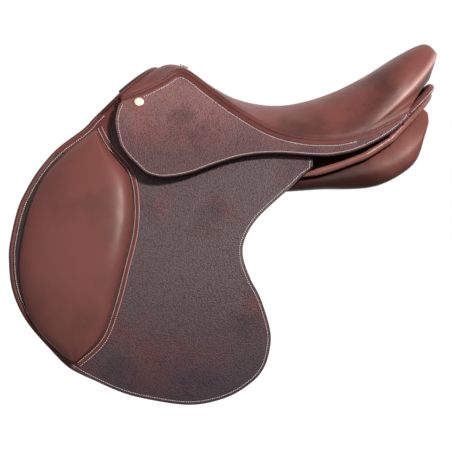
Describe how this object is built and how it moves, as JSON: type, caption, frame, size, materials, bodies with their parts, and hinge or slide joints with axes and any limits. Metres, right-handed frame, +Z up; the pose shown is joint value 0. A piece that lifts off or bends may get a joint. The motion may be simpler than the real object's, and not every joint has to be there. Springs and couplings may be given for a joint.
{
  "type": "jumping saddle",
  "caption": "Close-contact jumping saddle in brown leather: deep seat over a spring tree, forward flaps with knee pads, skirts, stirrup bars, girth straps and padded panels.",
  "frame": {"origin": "on the middle plane, under the deepest point of the seat, at the height of the panels' foot line, where the horse's back bears the saddle", "axes": "+X towards the cantle (the horse's rear), +Y towards the off side, +Z up"},
  "size_m": [0.6162, 0.4386, 0.5093],
  "materials": {
    "smooth_leather": "semi-gloss calf",
    "grained_leather": "pebble-grained, low sheen",
    "strap_leather": "plain bridle leather",
    "black_leather": "dark edge leather",
    "tree_wood": "sealed laminate",
    "steel": "brushed",
    "webbing": "woven",
    "foam": "open foam",
    "nail_metal": "pale polished",
    "plate_metal": "polished"
  },
  "bodies": {
    "saddle": {"tree_head": "tree_wood", "head_plate": "steel", "head_rivets": "steel", "left_tree_rail": "tree_wood", "right_tree_rail": "tree_wood", "tree_cantle": "tree_wood", "left_spring_steel": "steel", "right_spring_steel": "steel", "seat_web": "webbing", "seat_foam": "foam", "seat_cover": "smooth_leather", "pommel_facing": "black_leather", "pommel_plate": "plate_metal", "left_seat_welt": "smooth_leather", "right_seat_welt": "smooth_leather", "cantle_welt": "smooth_leather", "cantle_band": "smooth_leather", "left_skirt_top": "grained_leather", "right_skirt_top": "grained_leather", "left_skirt_nail": "nail_metal", "right_skirt_nail": "nail_metal", "left_flap_top": "grained_leather", "right_flap_top": "grained_leather", "left_flap_tacks": "steel", "right_flap_tacks": "steel", "left_stirrup_bar": "steel", "right_stirrup_bar": "steel", "left_bar_rivets": "steel", "right_bar_rivets": "steel", "left_catch_pin": "steel", "right_catch_pin": "steel", "left_girth_web": "webbing", "right_girth_web": "webbing", "left_girth_pins": "steel", "right_girth_pins": "steel", "left_sweat_flap": "strap_leather", "right_sweat_flap": "strap_leather", "left_point_pocket": "strap_leather", "right_point_pocket": "strap_leather", "left_panel": "smooth_leather", "right_panel": "smooth_leather"},
    "left_flap": {"left_flap": "grained_leather", "left_knee_pad": "smooth_leather", "left_pad_welt": "grained_leather"},
    "left_skirt": {"left_skirt": "grained_leather"},
    "left_catch": {"left_bar_catch": "steel"},
    "left_front_strap": {"left_front_strap": "strap_leather"},
    "left_middle_strap": {"left_middle_strap": "strap_leather"},
    "left_rear_strap": {"left_rear_strap": "strap_leather"},
    "right_flap": {"right_flap": "grained_leather", "right_knee_pad": "smooth_leather", "right_pad_welt": "grained_leather"},
    "right_skirt": {"right_skirt": "grained_leather"},
    "right_catch": {"right_bar_catch": "steel"},
    "right_front_strap": {"right_front_strap": "strap_leather"},
    "right_middle_strap": {"right_middle_strap": "strap_leather"},
    "right_rear_strap": {"right_rear_strap": "strap_leather"}
  },
  "joints": [
    {"name": "left_flap_lift", "type": "hinge", "parent": "saddle", "child": "left_flap", "pos_m": [-0.08967, -0.10872, 0.0794], "axis": [-0.9492, 0.1527, 0.2753], "range_deg": [0, 75]},
    {"name": "left_skirt_lift", "type": "hinge", "parent": "saddle", "child": "left_skirt", "pos_m": [-0.07951, -0.12244, 0.08802], "axis": [-0.9523, 0.1228, 0.2794], "range_deg": [0, 92]},
    {"name": "left_catch_turn", "type": "hinge", "parent": "saddle", "child": "left_catch", "pos_m": [-0.0998, -0.08703, 0.10649], "axis": [0, -0.8519, 0.5237], "range_deg": [0, 80]},
    {"name": "left_front_strap_swing", "type": "hinge", "parent": "saddle", "child": "left_front_strap", "pos_m": [-0.14944, -0.11999, 0.04709], "axis": [0, 0.8951, -0.4458], "range_deg": [-5, 5]},
    {"name": "left_middle_strap_swing", "type": "hinge", "parent": "saddle", "child": "left_middle_strap", "pos_m": [-0.11144, -0.11999, 0.04709], "axis": [0, 0.8951, -0.4458], "range_deg": [-5, 5]},
    {"name": "left_rear_strap_swing", "type": "hinge", "parent": "saddle", "child": "left_rear_strap", "pos_m": [-0.07344, -0.11999, 0.04709], "axis": [0, 0.8951, -0.4458], "range_deg": [-5, 5]},
    {"name": "right_flap_lift", "type": "hinge", "parent": "saddle", "child": "right_flap", "pos_m": [-0.08967, 0.10872, 0.0794], "axis": [0.9492, 0.1527, -0.2753], "range_deg": [0, 75]},
    {"name": "right_skirt_lift", "type": "hinge", "parent": "saddle", "child": "right_skirt", "pos_m": [-0.07951, 0.12244, 0.08802], "axis": [0.9523, 0.1228, -0.2794], "range_deg": [0, 92]},
    {"name": "right_catch_turn", "type": "hinge", "parent": "saddle", "child": "right_catch", "pos_m": [-0.0998, 0.08703, 0.10649], "axis": [0, -0.8519, -0.5237], "range_deg": [0, 80]},
    {"name": "right_front_strap_swing", "type": "hinge", "parent": "saddle", "child": "right_front_strap", "pos_m": [-0.14944, 0.11999, 0.04709], "axis": [0, 0.8951, 0.4458], "range_deg": [-5, 5]},
    {"name": "right_middle_strap_swing", "type": "hinge", "parent": "saddle", "child": "right_middle_strap", "pos_m": [-0.11144, 0.11999, 0.04709], "axis": [0, 0.8951, 0.4458], "range_deg": [-5, 5]},
    {"name": "right_rear_strap_swing", "type": "hinge", "parent": "saddle", "child": "right_rear_strap", "pos_m": [-0.07344, 0.11999, 0.04709], "axis": [0, 0.8951, 0.4458], "range_deg": [-5, 5]}
  ],
  "couplings": [
    {"joint": "left_skirt_lift", "follows": "left_flap_lift", "ratio": 1.22},
    {"joint": "right_skirt_lift", "follows": "right_flap_lift", "ratio": 1.22}
  ]
}
